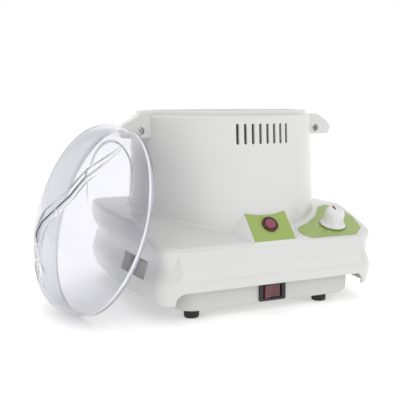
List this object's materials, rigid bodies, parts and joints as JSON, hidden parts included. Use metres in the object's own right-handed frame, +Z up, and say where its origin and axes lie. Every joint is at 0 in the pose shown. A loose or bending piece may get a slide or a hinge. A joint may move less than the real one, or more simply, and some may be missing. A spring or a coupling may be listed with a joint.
{
  "type": "salon wax heater",
  "caption": "Electric wax heater: low rounded base with a round heated tower, sloping control deck, rocker switch, dial, lamp, lift-out pot and a separate clear domed lid.",
  "frame": {"origin": "on the table, in the middle of the footprint of the whole part with its lid leaning at the left; the tower's axis is 36.4 mm to the right of it", "axes": "+X to the right seen from the front, -Y towards the front with the controls, +Z up"},
  "size_m": [0.3012, 0.2424, 0.1752],
  "materials": {
    "white_shell": "glossy injection-moulded white",
    "white_ring": "glossy white ring round the mouth",
    "white_tray": "semi-gloss white",
    "white_knob": "glossy fluted white",
    "dark_red_mark": "dark red paint fill",
    "green_label": "satin yellow-green overlay",
    "black_plastic": "black, lightly polished",
    "red_lens": "dark red translucent lens",
    "red_rocker": "dark red translucent rocker",
    "clear_lid": "clear moulded plastic with a faint violet cast",
    "rubber": "black",
    "black_gland": "black, slightly flexible",
    "zinc_screw": "zinc plated",
    "steel_pot": "satin stainless",
    "aluminium_well": "spun",
    "heater_band": "mica-filled steel band, heat-tinted",
    "insulation": "dark needled fibre",
    "shield_sheet": "plain sheet",
    "brass": "plain",
    "wire_sleeve": "silicone wire sleeve",
    "ceramic_block": "ceramic terminal body",
    "thermostat_case": "dark phenolic",
    "fuse_can": "plain"
  },
  "bodies": {
    "heater": {"front_housing": "white_shell", "rear_housing": "white_shell", "top_ring": "white_ring", "base_tray": "white_tray", "rubber_feet": "rubber", "foot_screws": "zinc_screw", "tray_screws": "zinc_screw", "housing_screws": "zinc_screw", "cord_gland": "black_gland", "heating_well": "aluminium_well", "band_heater": "heater_band", "band_clamps": "zinc_screw", "insulation_sleeve": "insulation", "heat_shield": "shield_sheet", "shield_pillars": "zinc_screw", "thermostat_body": "thermostat_case", "thermostat_nut": "zinc_screw", "knob_panel": "green_label", "lamp_panel": "green_label", "lamp_body": "black_plastic", "lamp_bezel": "black_plastic", "lamp_lens": "red_lens", "switch_frame": "black_plastic", "switch_terminals": "brass", "sensor_bulb": "brass", "thermal_fuse": "fuse_can", "terminal_block": "ceramic_block", "inner_wiring": "wire_sleeve"},
    "knob": {"knob": "white_knob", "knob_pointer": "dark_red_mark", "thermostat_shaft": "brass"},
    "rocker": {"switch_rocker": "red_rocker"},
    "lid": {"lid": "clear_lid"},
    "pot": {"wax_pot": "steel_pot"},
    "bail": {"pot_bail": "zinc_screw"}
  },
  "joints": [
    {"name": "knob_turn", "type": "hinge", "parent": "heater", "child": "knob", "pos_m": [0.1069, -0.091, 0.06868], "axis": [0, -0.284, 0.9588], "range_deg": [-270, 0]},
    {"name": "rocker_tip", "type": "hinge", "parent": "heater", "child": "rocker", "pos_m": [0.0364, -0.0995, 0.0178], "axis": [0, 0, 1], "range_deg": [-16, 0]},
    {"name": "lid_lift", "type": "slide", "parent": "heater", "child": "lid", "axis": [0, 0, 1], "range_m": [0, 0.2]},
    {"name": "pot_lift", "type": "slide", "parent": "heater", "child": "pot", "axis": [0, 0, 1], "range_m": [0, 0.15]},
    {"name": "bail_swing", "type": "hinge", "parent": "pot", "child": "bail", "pos_m": [0.0364, 0, 0.1736], "axis": [1, 0, 0], "range_deg": [0, 180]}
  ]
}
